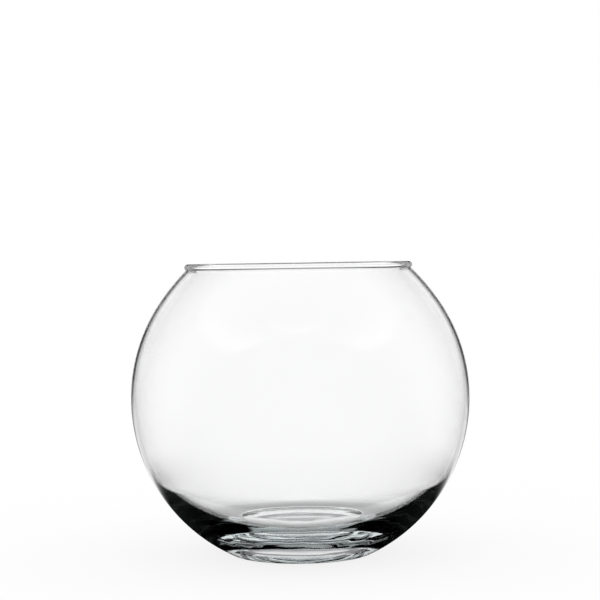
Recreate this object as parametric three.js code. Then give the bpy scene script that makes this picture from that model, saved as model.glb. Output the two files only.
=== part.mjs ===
// A clear glass globe vase: one blown piece with a beaded mouth, a thin wall and a thick heel.
// Millimetres, +Z up. The origin is the middle of the foot, on the surface that the vase stands on.
import * as THREE from "three";

// Outside
const BODY_DIAMETER = 190;
const BELLY_HEIGHT = 88;
const VASE_HEIGHT = 163.5;
const MOUTH_DIAMETER = 128;
const SHOULDER_ANGLE = 33.6;

// Foot
const FOOT_DIAMETER = 74.6;
const FOOT_RING_WIDTH = 12;
const FOOT_FILLET = 6.8;
const UNDERSIDE_RISE = 0.6;

// Glass thickness
const WALL = 1.4;
const BEAD_DIAMETER = 3.7;
const BASE_THICKNESS = 8.4;
const FLOOR_DIAMETER = 35;
const HEEL_HEIGHT = 42.8;

// Fineness of the facets
const SIDES = 64;
const BODY_STEP = 5.5;
const FILLET_STEP = 11;
const BEAD_STEP = 28;
const UNDERSIDE_STEPS = 3;

const GLASS = { color: 0xf2f7f7, roughness: 0.03, metalness: 0, transparent: true, opacity: 0.35 };

const degrees = THREE.MathUtils.radToDeg;

// The profile is drawn in a half plane: x is the distance from the axis and y is the height.
const point = (radius, height) => new THREE.Vector2(radius, height);

const along = (centre, radius, angle) => {
  const turn = THREE.MathUtils.degToRad(angle);
  return point(centre.x + radius * Math.cos(turn), centre.y + radius * Math.sin(turn));
};

const angleFrom = (centre, target) => degrees(Math.atan2(target.y - centre.y, target.x - centre.x));

// Points on an arc from one angle to another, about one for each step of the given size.
function arc(centre, radius, from, to, step) {
  const count = Math.max(1, Math.round(Math.abs(to - from) / step));
  return Array.from({ length: count + 1 }, (_, i) => along(centre, radius, from + ((to - from) * i) / count));
}

const bodyRadius = BODY_DIAMETER / 2;
const footRadius = FOOT_DIAMETER / 2;
const belly = point(0, BELLY_HEIGHT);

// The shallow dome that keeps the middle of the underside off the table.
function underside() {
  const rim = footRadius - FOOT_RING_WIDTH;
  const radius = (rim ** 2 + UNDERSIDE_RISE ** 2) / (2 * UNDERSIDE_RISE);
  const centre = point(0, UNDERSIDE_RISE - radius);
  const reach = angleFrom(centre, point(rim, 0));
  return arc(centre, radius, 90, reach, (90 - reach) / UNDERSIDE_STEPS);
}

// The lower half of the outside: a fillet at the foot, then an arc that runs upright into the belly.
function lowerOutside() {
  const fillet = point(footRadius, FOOT_FILLET);
  const drop = BELLY_HEIGHT - FOOT_FILLET;
  const inset = bodyRadius - footRadius;
  const radius = (inset ** 2 + drop ** 2 - FOOT_FILLET ** 2) / (2 * (inset - FOOT_FILLET));
  const centre = point(bodyRadius - radius, BELLY_HEIGHT);
  const join = angleFrom(centre, fillet);
  return [
    ...arc(fillet, FOOT_FILLET, -90, join, FILLET_STEP),
    ...arc(centre, radius, join, 0, BODY_STEP).slice(1),
  ];
}

// The mouth's round bead, and the shoulder arc whose inner face runs smoothly into it.
const beadRadius = BEAD_DIAMETER / 2;
const bead = point(MOUTH_DIAMETER / 2 - beadRadius, VASE_HEIGHT - beadRadius);

// The radius is negative where a mouth outside the globe's curve bends the shoulder outwards, as a neck.
function shoulderArc() {
  const outward = along(point(0, 0), 1, SHOULDER_ANGLE);
  const start = along(belly, bodyRadius, SHOULDER_ANGLE);
  const toBead = bead.clone().sub(start);
  const excess = beadRadius - WALL;
  const radius = (toBead.lengthSq() - excess ** 2) / (2 * (excess - toBead.dot(outward)));
  const centre = start.clone().addScaledVector(outward, -radius);
  const reach = radius + excess;
  const beadAngle = angleFrom(point(0, 0), bead.clone().sub(centre).divideScalar(reach));
  return { centre, radius, reach, beadAngle };
}

// The upper half of the outside: the globe, the shoulder, and the bead over its top to its inner side.
function upperOutside() {
  const { centre, radius, reach, beadAngle } = shoulderArc();
  const turn = Math.acos((radius ** 2 + reach ** 2 - beadRadius ** 2) / (2 * radius * reach));
  const notchAngle = beadAngle - Math.sign(radius) * degrees(turn);
  const notch = along(centre, radius, notchAngle);
  return [
    ...arc(belly, bodyRadius, 0, SHOULDER_ANGLE, BODY_STEP).slice(1),
    ...arc(centre, radius, SHOULDER_ANGLE, notchAngle, BODY_STEP).slice(1),
    ...arc(bead, beadRadius, angleFrom(bead, notch), 90, BEAD_STEP).slice(1),
    ...arc(bead, beadRadius, 90, beadAngle + 180, BEAD_STEP).slice(1),
  ];
}

// The inside, from the bead down: shoulder, globe, the heel where the glass thickens, and the flat floor.
function inside() {
  const { centre, radius, beadAngle } = shoulderArc();
  const innerRadius = bodyRadius - WALL;
  const heelAngle = degrees(Math.asin((HEEL_HEIGHT - BELLY_HEIGHT) / innerRadius));
  const heel = along(belly, innerRadius, heelAngle);
  const floorEdge = point(FLOOR_DIAMETER / 2, BASE_THICKNESS);
  const rise = heel.y - floorEdge.y;
  const heelRadius = heel.distanceTo(floorEdge) ** 2 / (2 * rise);
  const heelCentre = point(floorEdge.x, floorEdge.y + heelRadius);
  return [
    ...arc(centre, radius - WALL, beadAngle, SHOULDER_ANGLE, BODY_STEP).slice(1),
    ...arc(belly, innerRadius, SHOULDER_ANGLE, heelAngle, BODY_STEP).slice(1),
    ...arc(heelCentre, heelRadius, angleFrom(heelCentre, heel), -90, BODY_STEP).slice(1),
    point(0, BASE_THICKNESS),
  ];
}

// One closed turn of glass: up the outside, over the bead and down the inside, both ends on the axis.
function glassBowl() {
  const profile = [...underside(), ...lowerOutside(), ...upperOutside(), ...inside()];
  const geometry = new THREE.LatheGeometry(profile, SIDES).rotateX(Math.PI / 2);
  const mesh = new THREE.Mesh(geometry, new THREE.MeshStandardMaterial(GLASS));
  mesh.name = "glass_bowl";
  return mesh;
}

const vase = new THREE.Group();
vase.add(glassBowl());

export default vase;
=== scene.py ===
import math
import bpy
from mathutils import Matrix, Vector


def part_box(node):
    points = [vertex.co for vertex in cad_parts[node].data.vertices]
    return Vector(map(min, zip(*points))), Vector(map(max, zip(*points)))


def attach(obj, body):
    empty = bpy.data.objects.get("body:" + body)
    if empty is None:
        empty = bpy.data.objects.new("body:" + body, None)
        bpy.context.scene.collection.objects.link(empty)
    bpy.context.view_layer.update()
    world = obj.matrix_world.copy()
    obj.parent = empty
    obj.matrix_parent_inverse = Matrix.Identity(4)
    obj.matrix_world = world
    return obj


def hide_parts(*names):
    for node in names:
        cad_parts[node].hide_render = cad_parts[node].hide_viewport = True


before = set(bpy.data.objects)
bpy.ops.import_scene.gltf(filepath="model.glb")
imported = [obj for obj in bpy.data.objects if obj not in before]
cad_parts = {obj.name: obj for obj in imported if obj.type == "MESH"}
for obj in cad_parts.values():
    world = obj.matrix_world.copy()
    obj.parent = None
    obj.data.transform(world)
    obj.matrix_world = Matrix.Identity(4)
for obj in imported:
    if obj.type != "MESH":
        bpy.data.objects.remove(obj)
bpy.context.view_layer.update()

from types import SimpleNamespace

import bpy
from mathutils import Matrix, Vector


def angles(*degrees):
    return tuple(math.radians(angle) for angle in degrees)


def seen_from(*degrees):
    """What a Layer Weight node's Facing says on a level table that is seen from these angles above it."""
    return tuple(1 - math.sin(angle) for angle in angles(*degrees))


QUARTER_TURN = math.pi / 2
FULL_TURN = 2 * math.pi
WHITE = (1, 1, 1, 1)

# Sizes of the glass in metres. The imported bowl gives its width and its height.
BOWL_LOW, BOWL_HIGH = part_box("glass_bowl")
BODY_RADIUS = (BOWL_HIGH[0] - BOWL_LOW[0]) / 2
VASE_HEIGHT = BOWL_HIGH[2] - BOWL_LOW[2]
BELLY_HEIGHT = 0.088
MOUTH_DIAMETER = 0.128
SHOULDER_ANGLE = math.radians(33.6)
FOOT_DIAMETER = 0.0746
FOOT_RING_WIDTH = 0.012
FOOT_FILLET = 0.0068
UNDERSIDE_RISE = 0.0006
WALL = 0.0014
BEAD_DIAMETER = 0.0037
BASE_THICKNESS = 0.0084
FLOOR_DIAMETER = 0.035
HEEL_HEIGHT = 0.0428

# Fineness of the turned surface
SIDES = 288
BODY_STEP = math.radians(1.5)
FILLET_STEP = math.radians(6)
BEAD_STEP = math.radians(12)
FLAT_STEPS = 8
CREASE = math.radians(40)
MERGE_DISTANCE = 1e-6

# Slight waves that blowing and pressing leave in the thick glass of the heel and the base
WAVE_SIZE = 0.014
WAVE_DETAIL = 1
WAVE_HEIGHT = 0.0002
WAVE_MIDDLE = 0.5
WAVE_FROM = 0.009
WAVE_TO = 0.02
WAVE_CLEAR = 0.0006

# The glass: how much it bends light, and the faint tint of its depth for each metre
GLASS_INDEX = 1.52
GLASS_TINT = (0.952, 0.966, 0.967, 1)
GLASS_TINT_DENSITY = 40

# Camera: the place, tilt and roll of the photograph's own
CAMERA_DISTANCE = 0.95
CAMERA_ASIDE = 0.0007
CAMERA_HEIGHT = 0.1616
CAMERA_TILT = math.radians(1.151)
CAMERA_ROLL = math.radians(0.9)
CAMERA_LENS = 101.15

# How often light may bounce. Thick glass needs many bounces.
MOST_BOUNCES = 32
MOST_GLOSSY_BOUNCES = 24

# Studio: a white floor and room for the camera, and a set that only the glass shows
FLOOR_SIZE = 60
FLOOR_TONE = 0.92
FLOOR_OWN_LIGHT = 0.85
DOME_LIGHT = 1 / FLOOR_TONE
SET_RADIUS = 5
SET_STEPS = 64
SET_DROP = 0.00002

# The set's back panel, by bearing from straight behind the vase and by height, and its brighter borders
BACK_LIGHT = 1.11
BACK_EDGES = angles(11, 14)
BACK_HEIGHTS = angles(3, 9)
BACK_LIFT = math.radians(16)
BACK_TOP_LIGHT = 0.35
BORDER_EDGES = angles(5, 11.5)
BORDER_LIGHT = 1.12

# How many bounces tell light that came through the thick heel, and how much wider its back panel is
HEEL_BOUNCES = (6.5, 7.5)
HEEL_WIDENING = math.radians(14)
HEEL_WIDENING_HEIGHTS = angles(2, 8)

# The set's table: the angles at which it mirrors or is dim, and the places where it is lit or shaded
FACING_BLEND = 0.5
TABLE_MIRROR = seen_from(25, 20)
TABLE_ROUGHNESS = 0.05
TABLE_STEEP = seen_from(60, 20)
TABLE_STEEP_LIGHT = 0.06
LIT_EDGES = (0.1, 0.16)
LIT_FRONT_EDGES = (-0.06, -0.04)
FOOT_SHADE = 0.55
FOOT_SHADE_EDGES = (0.038, 0.075)
FOOT_EDGES = (0.036, 0.038)

# What the table adds for light that came straight through: a lit lane, and angles at which it isn't dim
LANE_EDGES = (0.1, 0.13)
LANE_SPREAD = math.tan(math.radians(15))
LANE_ANGLES = seen_from(35, 30)
CLEAR_LOW_ANGLES = seen_from(38, 30)
CLEAR_HIGH_ANGLES = seen_from(75, 60)
BEYOND_FOOT = (0.04, 0.06)

# The set's dim front
FRONT_LIGHT = 0.07
FRONT_EDGES = angles(95, 125)

# The set's sides as the outer face of the glass mirrors them
SIDE_LIGHT = 1.5
SIDE_EDGES = angles(18, 36)
SIDE_FOOT_EDGES = (0.12, 0.25)
SIDE_FRONT_EDGES = angles(80, 130)
SIDE_FRONT_LIGHT = 0.2


def point(radius, height):
    return Vector((radius, height))


def along(centre, radius, angle):
    return centre + radius * point(math.cos(angle), math.sin(angle))


def angle_from(centre, target):
    return math.atan2(target.y - centre.y, target.x - centre.x)


def deselect_everything():
    for thing in bpy.context.selected_objects:
        thing.select_set(False)


def start_chain(name, start):
    """Start a profile, which is drawn in the plane y = 0 as one chain of edges.

    The chain's free end is always the only selected vertex.
    """
    deselect_everything()
    bpy.ops.mesh.primitive_plane_add(size=MERGE_DISTANCE, location=(start.x, 0, start.y))
    piece = bpy.context.object
    piece.name = name
    piece.data.name = name
    bpy.ops.object.mode_set(mode="EDIT")
    bpy.ops.mesh.merge(type="CENTER")
    return piece


def sweep(centre, start, end, step):
    """Carry the free end round an arc, from one angle to another."""
    steps = max(1, round(abs(end - start) / step))
    bpy.ops.mesh.spin(steps=steps, angle=end - start, center=(centre.x, 0, centre.y), axis=(0, 1, 0))


def run(offset, steps):
    """Carry the free end along a straight line."""
    for _ in range(steps):
        bpy.ops.mesh.extrude_region_move(
            TRANSFORM_OT_translate={"value": (offset.x / steps, 0, offset.y / steps)}
        )


def turn_about_axis(steps):
    """Turn the whole chain once round the vase's axis, and leave edit mode."""
    bpy.ops.mesh.select_all(action="SELECT")
    bpy.ops.mesh.spin(steps=steps, angle=FULL_TURN, center=(0, 0, 0), axis=(0, 0, 1))
    bpy.ops.mesh.select_all(action="SELECT")
    bpy.ops.mesh.remove_doubles(threshold=MERGE_DISTANCE)
    bpy.ops.mesh.normals_make_consistent(inside=False)
    bpy.ops.object.mode_set(mode="OBJECT")
    bpy.ops.object.transform_apply(location=True, rotation=True, scale=True)


FOOT_RADIUS = FOOT_DIAMETER / 2
BELLY = point(0, BELLY_HEIGHT)
BEAD_RADIUS = BEAD_DIAMETER / 2
BEAD = point(MOUTH_DIAMETER / 2 - BEAD_RADIUS, VASE_HEIGHT - BEAD_RADIUS)


def draw_foot():
    """The shallow dome under the base, the flat ring, the fillet and the lower body up to the belly."""
    ring_inside = FOOT_RADIUS - FOOT_RING_WIDTH
    dome_radius = (ring_inside**2 + UNDERSIDE_RISE**2) / (2 * UNDERSIDE_RISE)
    dome_centre = point(0, UNDERSIDE_RISE - dome_radius)
    dome_edge = angle_from(dome_centre, point(ring_inside, 0))
    sweep(dome_centre, QUARTER_TURN, dome_edge, (QUARTER_TURN - dome_edge) / FLAT_STEPS)
    run(point(FOOT_RING_WIDTH, 0), FLAT_STEPS)

    fillet = point(FOOT_RADIUS, FOOT_FILLET)
    drop = BELLY_HEIGHT - FOOT_FILLET
    inset = BODY_RADIUS - FOOT_RADIUS
    radius = (inset**2 + drop**2 - FOOT_FILLET**2) / (2 * (inset - FOOT_FILLET))
    centre = point(BODY_RADIUS - radius, BELLY_HEIGHT)
    join = angle_from(centre, fillet)
    sweep(fillet, -QUARTER_TURN, join, FILLET_STEP)
    sweep(centre, join, 0, BODY_STEP)


def shoulder_arc():
    """The arc from the globe to the bead, whose inner face runs smoothly into the bead."""
    outward = along(point(0, 0), 1, SHOULDER_ANGLE)
    start = along(BELLY, BODY_RADIUS, SHOULDER_ANGLE)
    to_bead = BEAD - start
    excess = BEAD_RADIUS - WALL
    radius = (to_bead.length_squared - excess**2) / (2 * (excess - to_bead.dot(outward)))
    centre = start - radius * outward
    return centre, radius, angle_from(centre, BEAD)


def draw_shoulder_and_bead():
    """The upper globe, the shoulder, and the round bead of the mouth over to its inner side."""
    centre, radius, bead_angle = shoulder_arc()
    reach = (BEAD - centre).length
    turn = math.acos((radius**2 + reach**2 - BEAD_RADIUS**2) / (2 * radius * reach))
    notch = along(centre, radius, bead_angle - turn)
    sweep(BELLY, 0, SHOULDER_ANGLE, BODY_STEP)
    sweep(centre, SHOULDER_ANGLE, bead_angle - turn, BODY_STEP)
    sweep(BEAD, angle_from(BEAD, notch), bead_angle + math.pi, BEAD_STEP)


def draw_inside():
    """The inner face: shoulder, globe, the heel where the glass thickens, and the flat floor."""
    centre, radius, bead_angle = shoulder_arc()
    inner_radius = BODY_RADIUS - WALL
    heel_angle = math.asin((HEEL_HEIGHT - BELLY_HEIGHT) / inner_radius)
    heel = along(BELLY, inner_radius, heel_angle)
    floor_edge = point(FLOOR_DIAMETER / 2, BASE_THICKNESS)
    heel_radius = (heel - floor_edge).length_squared / (2 * (heel.y - floor_edge.y))
    heel_centre = point(floor_edge.x, floor_edge.y + heel_radius)
    sweep(centre, bead_angle, SHOULDER_ANGLE, BODY_STEP)
    sweep(BELLY, SHOULDER_ANGLE, heel_angle, BODY_STEP)
    sweep(heel_centre, angle_from(heel_centre, heel), -QUARTER_TURN, BODY_STEP)
    run(point(-floor_edge.x, 0), FLAT_STEPS)


def waves_in_the_base(bowl):
    """Push the thick glass in and out a little, fading out up the wall.

    The ring that the vase stands on stays flat.
    """
    base = bowl.vertex_groups.new(name="base")
    for vertex in bowl.data.vertices:
        below = (WAVE_TO - vertex.co.z) / (WAVE_TO - WAVE_FROM)
        clear = vertex.co.z / WAVE_CLEAR
        base.add([vertex.index], min(max(below, 0), max(clear, 0), 1), "REPLACE")
    clouds = bpy.data.textures.new("glass_waves", "CLOUDS")
    clouds.noise_scale = WAVE_SIZE
    clouds.noise_depth = WAVE_DETAIL
    waves = bowl.modifiers.new("glass_waves", "DISPLACE")
    waves.texture = clouds
    waves.texture_coords = "LOCAL"
    waves.strength = WAVE_HEIGHT
    waves.mid_level = WAVE_MIDDLE
    waves.vertex_group = base.name
    bpy.ops.object.modifier_apply(modifier=waves.name)


def blown_glass_bowl():
    bowl = start_chain("blown_glass_bowl", point(0, UNDERSIDE_RISE))
    draw_foot()
    draw_shoulder_and_bead()
    draw_inside()
    turn_about_axis(SIDES)
    waves_in_the_base(bowl)
    bpy.ops.object.shade_smooth_by_angle(angle=CREASE)
    bowl.data.materials.append(clear_glass())
    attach(bowl, "root")
    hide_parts("glass_bowl")


def new_material(name):
    material = bpy.data.materials.new(name)
    material.use_nodes = True
    material.node_tree.nodes.clear()
    return material, material.node_tree


def feed(tree, node, inputs):
    """Give each of a node's inputs a plain value, or link another node's output to it."""
    for name, value in inputs.items():
        if isinstance(value, bpy.types.NodeSocket):
            tree.links.new(value, node.inputs[name])
        else:
            node.inputs[name].default_value = value


def add_node(tree, kind, inputs):
    node = tree.nodes.new(kind)
    feed(tree, node, inputs)
    return node


def math_node(tree, operation, *values):
    node = tree.nodes.new("ShaderNodeMath")
    node.operation = operation
    feed(tree, node, dict(enumerate(values)))
    return node.outputs["Value"]


def product(tree, first, *others):
    for other in others:
        first = math_node(tree, "MULTIPLY", first, other)
    return first


def brighter(tree, first, second):
    return math_node(tree, "MAXIMUM", first, second)


def fade(tree, value, edges, low, high):
    """A smooth change from one level to another between two edges."""
    span = {"Value": value, "From Min": edges[0], "From Max": edges[1], "To Min": low, "To Max": high}
    node = add_node(tree, "ShaderNodeMapRange", span)
    node.interpolation_type = "SMOOTHSTEP"
    return node.outputs["Result"]


def blend_shaders(tree, share, first, second):
    """The first shader, giving way to the second by the second's share."""
    return add_node(tree, "ShaderNodeMixShader", {"Fac": share, 1: first, 2: second}).outputs["Shader"]


def clear_glass():
    """Smooth clear glass with a faint tint in its depth."""
    material, tree = new_material("clear_glass")
    surface = {"Base Color": WHITE, "Roughness": 0, "IOR": GLASS_INDEX, "Transmission Weight": 1}
    glass = add_node(tree, "ShaderNodeBsdfPrincipled", surface)
    depth = {"Color": GLASS_TINT, "Density": GLASS_TINT_DENSITY}
    tint = add_node(tree, "ShaderNodeVolumeAbsorption", depth)
    both = {"Surface": glass.outputs["BSDF"], "Volume": tint.outputs["Volume"]}
    add_node(tree, "ShaderNodeOutputMaterial", both)
    return material


def pale_floor():
    """White to the camera, and matt enough to keep the vase's shadow."""
    material, tree = new_material("pale_floor")
    path = tree.nodes.new("ShaderNodeLightPath")
    matt = add_node(tree, "ShaderNodeBsdfDiffuse", {"Color": (FLOOR_TONE, FLOOR_TONE, FLOOR_TONE, 1)})
    to_camera = {"Color": WHITE, "Strength": path.outputs["Is Camera Ray"]}
    glow = add_node(tree, "ShaderNodeEmission", to_camera)
    floor = blend_shaders(tree, FLOOR_OWN_LIGHT, matt.outputs["BSDF"], glow.outputs["Emission"])
    add_node(tree, "ShaderNodeOutputMaterial", {"Surface": floor})
    return material


def set_places(tree):
    """Places on the set, from the vase: across, away, up, how far off, and how far round from the back."""
    spot = tree.nodes.new("ShaderNodeTexCoord").outputs["Object"]
    across, away, up = add_node(tree, "ShaderNodeSeparateXYZ", {"Vector": spot}).outputs
    reach = tree.nodes.new("ShaderNodeVectorMath")
    reach.operation = "LENGTH"
    feed(tree, reach, {0: spot})
    distance = reach.outputs["Value"]
    return SimpleNamespace(
        across=math_node(tree, "ABSOLUTE", across),
        away=away,
        up=up,
        distance=distance,
        round_from_back=math_node(tree, "ARCCOSINE", math_node(tree, "DIVIDE", away, distance)),
    )


def through_glass(tree, path):
    """One for light that has passed through glass, and nought for the outer face's own reflections."""
    return math_node(tree, "MINIMUM", path.outputs["Transmission Depth"], 1)


def straight_through(tree, path):
    """One for light that came through the glass with no reflection on its way."""
    reflected = math_node(tree, "MINIMUM", path.outputs["Glossy Depth"], 1)
    return math_node(tree, "SUBTRACT", 1, reflected)


def set_glow(tree, glass, through, mirrored):
    """Two levels of light: one for what shows through the glass, one for its outer reflections."""
    difference = math_node(tree, "SUBTRACT", through, mirrored)
    strength = math_node(tree, "MULTIPLY_ADD", glass, difference, mirrored)
    return add_node(tree, "ShaderNodeEmission", {"Color": WHITE, "Strength": strength}).outputs["Emission"]


def side_light(tree, place):
    """The sides as the outer face mirrors them: black next to the lit back, then pale, and dim in front."""
    rise = fade(tree, place.round_from_back, SIDE_EDGES, 0, SIDE_LIGHT)
    fall = fade(tree, place.round_from_back, SIDE_FRONT_EDGES, 1, SIDE_FRONT_LIGHT)
    return product(tree, rise, fall)


def front_light(tree, place):
    return fade(tree, place.round_from_back, FRONT_EDGES, 0, FRONT_LIGHT)


def back_light(tree, path, place):
    """The lit panel straight behind the vase. It is dim above, unless the table mirrors it.

    Light that came through the thick heel sees a wider panel, which is dim from lower down.
    """
    bearing = math_node(tree, "ARCTAN2", place.across, place.away)
    height = math_node(tree, "ARCSINE", math_node(tree, "DIVIDE", place.up, place.distance))
    bounces = path.outputs["Ray Depth"]
    widening = fade(tree, height, HEEL_WIDENING_HEIGHTS, 0, HEEL_WIDENING)
    widening = product(tree, widening, fade(tree, bounces, HEEL_BOUNCES, 0, 1))
    bearing = math_node(tree, "SUBTRACT", bearing, widening)
    lift = fade(tree, bounces, HEEL_BOUNCES, BACK_LIFT, 0)
    height = math_node(tree, "SUBTRACT", height, lift)
    panel = fade(tree, bearing, BACK_EDGES, BACK_LIGHT, 0)
    border = fade(tree, bearing, BORDER_EDGES, 1, BORDER_LIGHT)
    level = fade(tree, height, BACK_HEIGHTS, 1, BACK_TOP_LIGHT)
    level = brighter(tree, level, path.outputs["Is Reflection Ray"])
    return product(tree, panel, border, level)


def set_walls():
    """A lit panel behind the vase, black walls beside it and a dim front.

    The outer face of the glass mirrors pale sides instead.
    """
    material, tree = new_material("set_walls")
    path = tree.nodes.new("ShaderNodeLightPath")
    place = set_places(tree)
    lit = brighter(tree, back_light(tree, path, place), front_light(tree, place))
    glow = set_glow(tree, through_glass(tree, path), lit, side_light(tree, place))
    add_node(tree, "ShaderNodeOutputMaterial", {"Surface": glow})
    return material


def foot_shade(tree, place):
    """The soft shade on the table round the foot. Right under the foot the glass lets the light through."""
    beside = fade(tree, place.distance, FOOT_SHADE_EDGES, FOOT_SHADE, 1)
    under = fade(tree, place.distance, FOOT_EDGES, 1, 0)
    return brighter(tree, beside, under)


def table_dimming(tree, place, facing, straight):
    """The table is dimmer the more steeply it is seen.

    Straight light finds it clear from high above, and also from low down where it is beyond the foot.
    """
    steep = fade(tree, facing, TABLE_STEEP, TABLE_STEEP_LIGHT, 1)
    low = fade(tree, place.distance, BEYOND_FOOT, 0, 1)
    low = product(tree, low, fade(tree, facing, CLEAR_LOW_ANGLES, 0, 1))
    high = fade(tree, facing, CLEAR_HIGH_ANGLES, 1, 0)
    clear = product(tree, brighter(tree, low, high), straight)
    return brighter(tree, steep, clear)


def table_light(tree, path, place, facing):
    """A lit patch round the foot, and the dim front.

    Straight light also sees the front of the patch, and from low down a lane that widens towards the back.
    """
    straight = straight_through(tree, path)
    patch = fade(tree, place.distance, LIT_EDGES, BACK_LIGHT, 0)
    patch = product(tree, patch, brighter(tree, straight, fade(tree, place.away, LIT_FRONT_EDGES, 0, 1)))
    from_lane = math_node(tree, "MULTIPLY_ADD", place.away, -LANE_SPREAD, place.across)
    lane = fade(tree, from_lane, LANE_EDGES, BACK_LIGHT, 0)
    lane = product(tree, lane, fade(tree, facing, LANE_ANGLES, 0, 1), straight)
    lit = product(tree, brighter(tree, patch, lane), foot_shade(tree, place))
    lit = brighter(tree, lit, front_light(tree, place))
    return product(tree, lit, table_dimming(tree, place, facing, straight))


def set_table():
    """A polished table, which mirrors the walls at a low angle and shows its own light from higher up."""
    material, tree = new_material("set_table")
    path = tree.nodes.new("ShaderNodeLightPath")
    place = set_places(tree)
    facing = add_node(tree, "ShaderNodeLayerWeight", {"Blend": FACING_BLEND}).outputs["Facing"]
    glass = through_glass(tree, path)
    side = product(tree, side_light(tree, place), fade(tree, place.distance, SIDE_FOOT_EDGES, 0, 1))
    glow = set_glow(tree, glass, table_light(tree, path, place, facing), side)
    polish = add_node(tree, "ShaderNodeBsdfGlossy", {"Color": WHITE, "Roughness": TABLE_ROUGHNESS})
    share = product(tree, fade(tree, facing, TABLE_MIRROR, 0, 1), glass)
    table = blend_shaders(tree, share, glow, polish.outputs["BSDF"])
    add_node(tree, "ShaderNodeOutputMaterial", {"Surface": table})
    return material


def lay_floor():
    deselect_everything()
    bpy.ops.mesh.primitive_plane_add(size=FLOOR_SIZE, location=(0, 0, 0))
    floor = bpy.context.object
    floor.name = "floor"
    floor.data.materials.append(pale_floor())
    floor.visible_glossy = False
    floor.visible_transmission = False


def white_world():
    """White to the camera, and bright enough for the matt floor to look white too."""
    world = bpy.data.worlds.new("white_room")
    bpy.context.scene.world = world
    world.use_nodes = True
    tree = world.node_tree
    tree.nodes.clear()
    seen = tree.nodes.new("ShaderNodeLightPath").outputs
    strength = math_node(tree, "MULTIPLY_ADD", seen["Is Diffuse Ray"], DOME_LIGHT, seen["Is Camera Ray"])
    background = add_node(tree, "ShaderNodeBackground", {"Color": WHITE, "Strength": strength})
    add_node(tree, "ShaderNodeOutputWorld", {"Surface": background.outputs["Background"]})


def photograph_camera():
    data = bpy.data.cameras.new("camera")
    data.lens = CAMERA_LENS
    camera = bpy.data.objects.new("camera", data)
    bpy.context.scene.collection.objects.link(camera)
    place = Matrix.Translation((CAMERA_ASIDE, -CAMERA_DISTANCE, CAMERA_HEIGHT))
    tilt = Matrix.Rotation(QUARTER_TURN - CAMERA_TILT, 4, "X")
    roll = Matrix.Rotation(-CAMERA_ROLL, 4, "Z")
    camera.matrix_world = place @ tilt @ roll
    bpy.context.scene.camera = camera
    return camera


def set_stand(camera):
    """An upright stand on the vase's axis that keeps the set's back panel beyond the vase."""
    stand = bpy.data.objects.new("set_stand", None)
    bpy.context.scene.collection.objects.link(stand)
    facing = stand.constraints.new("LOCKED_TRACK")
    facing.target = camera
    facing.track_axis = "TRACK_NEGATIVE_Y"
    facing.lock_axis = "LOCK_Z"
    return stand


def hang_on_set(part, stand, material):
    """Put a part of the set on the stand, and let only the glass show it."""
    part.data.materials.append(material)
    part.parent = stand
    part.visible_camera = False
    part.visible_diffuse = False
    part.visible_shadow = False


def glass_set(camera):
    """What the glass shows: a dome of walls, and a round table just under the floor."""
    stand = set_stand(camera)
    walls = start_chain("set_walls", point(SET_RADIUS, -SET_DROP))
    sweep(point(0, -SET_DROP), 0, QUARTER_TURN, math.pi / SET_STEPS)
    turn_about_axis(SET_STEPS)
    hang_on_set(walls, stand, set_walls())
    deselect_everything()
    bpy.ops.mesh.primitive_circle_add(
        vertices=SET_STEPS, radius=SET_RADIUS, fill_type="NGON", location=(0, 0, -SET_DROP)
    )
    table = bpy.context.object
    table.name = "set_table"
    bpy.ops.object.transform_apply(location=True, rotation=True, scale=True)
    hang_on_set(table, stand, set_table())


blown_glass_bowl()
lay_floor()
white_world()
glass_set(photograph_camera())

scene = bpy.context.scene
scene.view_settings.view_transform = "Standard"
scene.cycles.max_bounces = MOST_BOUNCES
scene.cycles.glossy_bounces = MOST_GLOSSY_BOUNCES
scene.cycles.transmission_bounces = MOST_BOUNCES
